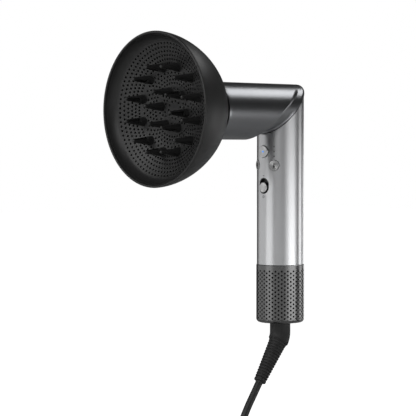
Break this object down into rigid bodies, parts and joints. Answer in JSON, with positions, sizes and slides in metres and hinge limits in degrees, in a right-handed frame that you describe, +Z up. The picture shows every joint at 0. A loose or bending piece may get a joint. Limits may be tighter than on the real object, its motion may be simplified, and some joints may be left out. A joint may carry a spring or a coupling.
{
  "type": "hair dryer",
  "caption": "Hair dryer with an upright tubular handle, a level barrel, a bowl diffuser with fingers, a lift-down intake sleeve, and a corded mains plug.",
  "frame": {"origin": "on the handle's axis at the height where a hand holds it, 100 mm below the mitred corner's centre", "axes": "+Z up along the handle, -Y the way the barrel blows, +X to the side"},
  "size_m": [0.1308, 0.1711, 0.4936],
  "materials": {
    "satin_silver": "satin silver paint",
    "gunmetal": "gloss gunmetal paint",
    "black_rubber": "matte",
    "grey_rubber": "matte",
    "black_plastic": "fine texture",
    "diffuser_black": "satin moulded",
    "plug_plastic": "satin moulded",
    "bright_steel": "polished",
    "mica": "pressed mica board",
    "heater_wire": "heat-stained alloy",
    "ceramic_white": "glazed",
    "blue_plastic": "potted case",
    "lead_insulation": "silicone sleeve",
    "cast_aluminium": "machined",
    "lamination_steel": "stacked sheet",
    "copper_wire": "enamelled copper",
    "magnet_grey": "epoxy coat",
    "circuit_board": "solder mask",
    "spun_metal": "spun",
    "led_blue": "lit lens",
    "led_white": "clear light pipe",
    "filter_mesh": "fine woven mesh",
    "cord_sheath": "satin",
    "tie_fabric": "hook and loop",
    "plated_brass": "plated"
  },
  "bodies": {
    "dryer": {"handle_shell": "satin_silver", "elbow_shell": "gunmetal", "barrel_shell": "gunmetal", "seam_ring": "black_rubber", "outlet_ring": "black_plastic", "outlet_core": "black_plastic", "outlet_magnets": "bright_steel", "heater_tube": "mica", "heater_frame": "mica", "heater_coils": "heater_wire", "thermostat": "ceramic_white", "thermal_fuse": "ceramic_white", "ion_module": "blue_plastic", "ion_needle": "bright_steel", "heater_leads": "lead_insulation", "inner_duct": "black_plastic", "motor_rings": "grey_rubber", "motor_housing": "cast_aluminium", "stator_core": "lamination_steel", "stator_coils": "copper_wire", "motor_bearings": "bright_steel", "driver_board": "circuit_board", "power_board": "circuit_board", "control_board": "circuit_board", "tact_switches": "black_plastic", "slide_switch": "black_plastic", "slider_pocket": "black_plastic", "led_pipes_right": "led_white", "led_pipes_left": "led_white", "intake_cage": "black_plastic", "cage_screws": "bright_steel", "base_plate": "black_plastic", "supply_leads": "lead_insulation", "strain_relief": "black_rubber", "cord": "cord_sheath", "cord_hank": "cord_sheath", "cord_tail": "cord_sheath", "cord_tie": "tie_fabric", "plug_body": "plug_plastic", "plug_blades": "plated_brass"},
    "mode_key": {"mode_button": "spun_metal", "mode_led": "led_blue"},
    "heat_key": {"heat_button": "spun_metal"},
    "speed_key": {"speed_button": "spun_metal"},
    "slider": {"power_slider": "spun_metal"},
    "rotor": {"rotor_shaft": "bright_steel", "rotor_magnet": "magnet_grey", "impeller": "cast_aluminium"},
    "sleeve": {"intake_sleeve": "gunmetal", "intake_filter": "filter_mesh"},
    "magnet_seat": {"steel_ring": "bright_steel"},
    "diffuser": {"diffuser_collar": "diffuser_black", "diffuser_bowl": "diffuser_black", "diffuser_plate": "diffuser_black", "outer_fingers": "diffuser_black", "inner_fingers": "diffuser_black"}
  },
  "joints": [
    {"name": "mode_press", "type": "slide", "parent": "dryer", "child": "mode_key", "axis": [0, 1, 0], "range_m": [0, 0.0006], "stiffness_N_per_m": 800, "springref_m": -0.0008},
    {"name": "heat_press", "type": "slide", "parent": "dryer", "child": "heat_key", "axis": [-0.4924, 0.8704, 0], "range_m": [0, 0.0006], "stiffness_N_per_m": 800, "springref_m": -0.0008},
    {"name": "speed_press", "type": "slide", "parent": "dryer", "child": "speed_key", "axis": [0.4924, 0.8704, 0], "range_m": [0, 0.0006], "stiffness_N_per_m": 800, "springref_m": -0.0008},
    {"name": "power_slide", "type": "slide", "parent": "dryer", "child": "slider", "axis": [0, 0, 1], "range_m": [0, 0.0026]},
    {"name": "rotor_spin", "type": "hinge", "parent": "dryer", "child": "rotor", "pos_m": [0, 0, 0], "axis": [0, 0, 1], "continuous": true},
    {"name": "sleeve_slide", "type": "slide", "parent": "dryer", "child": "sleeve", "axis": [0, 0, -1], "range_m": [0, 0.014]},
    {"name": "diffuser_pull", "type": "slide", "parent": "dryer", "child": "magnet_seat", "axis": [0, -1, 0], "range_m": [0, 0.03]},
    {"name": "diffuser_turn", "type": "hinge", "parent": "magnet_seat", "child": "diffuser", "pos_m": [0, -0.12, 0.0988], "axis": [0, -1, 0], "continuous": true}
  ]
}
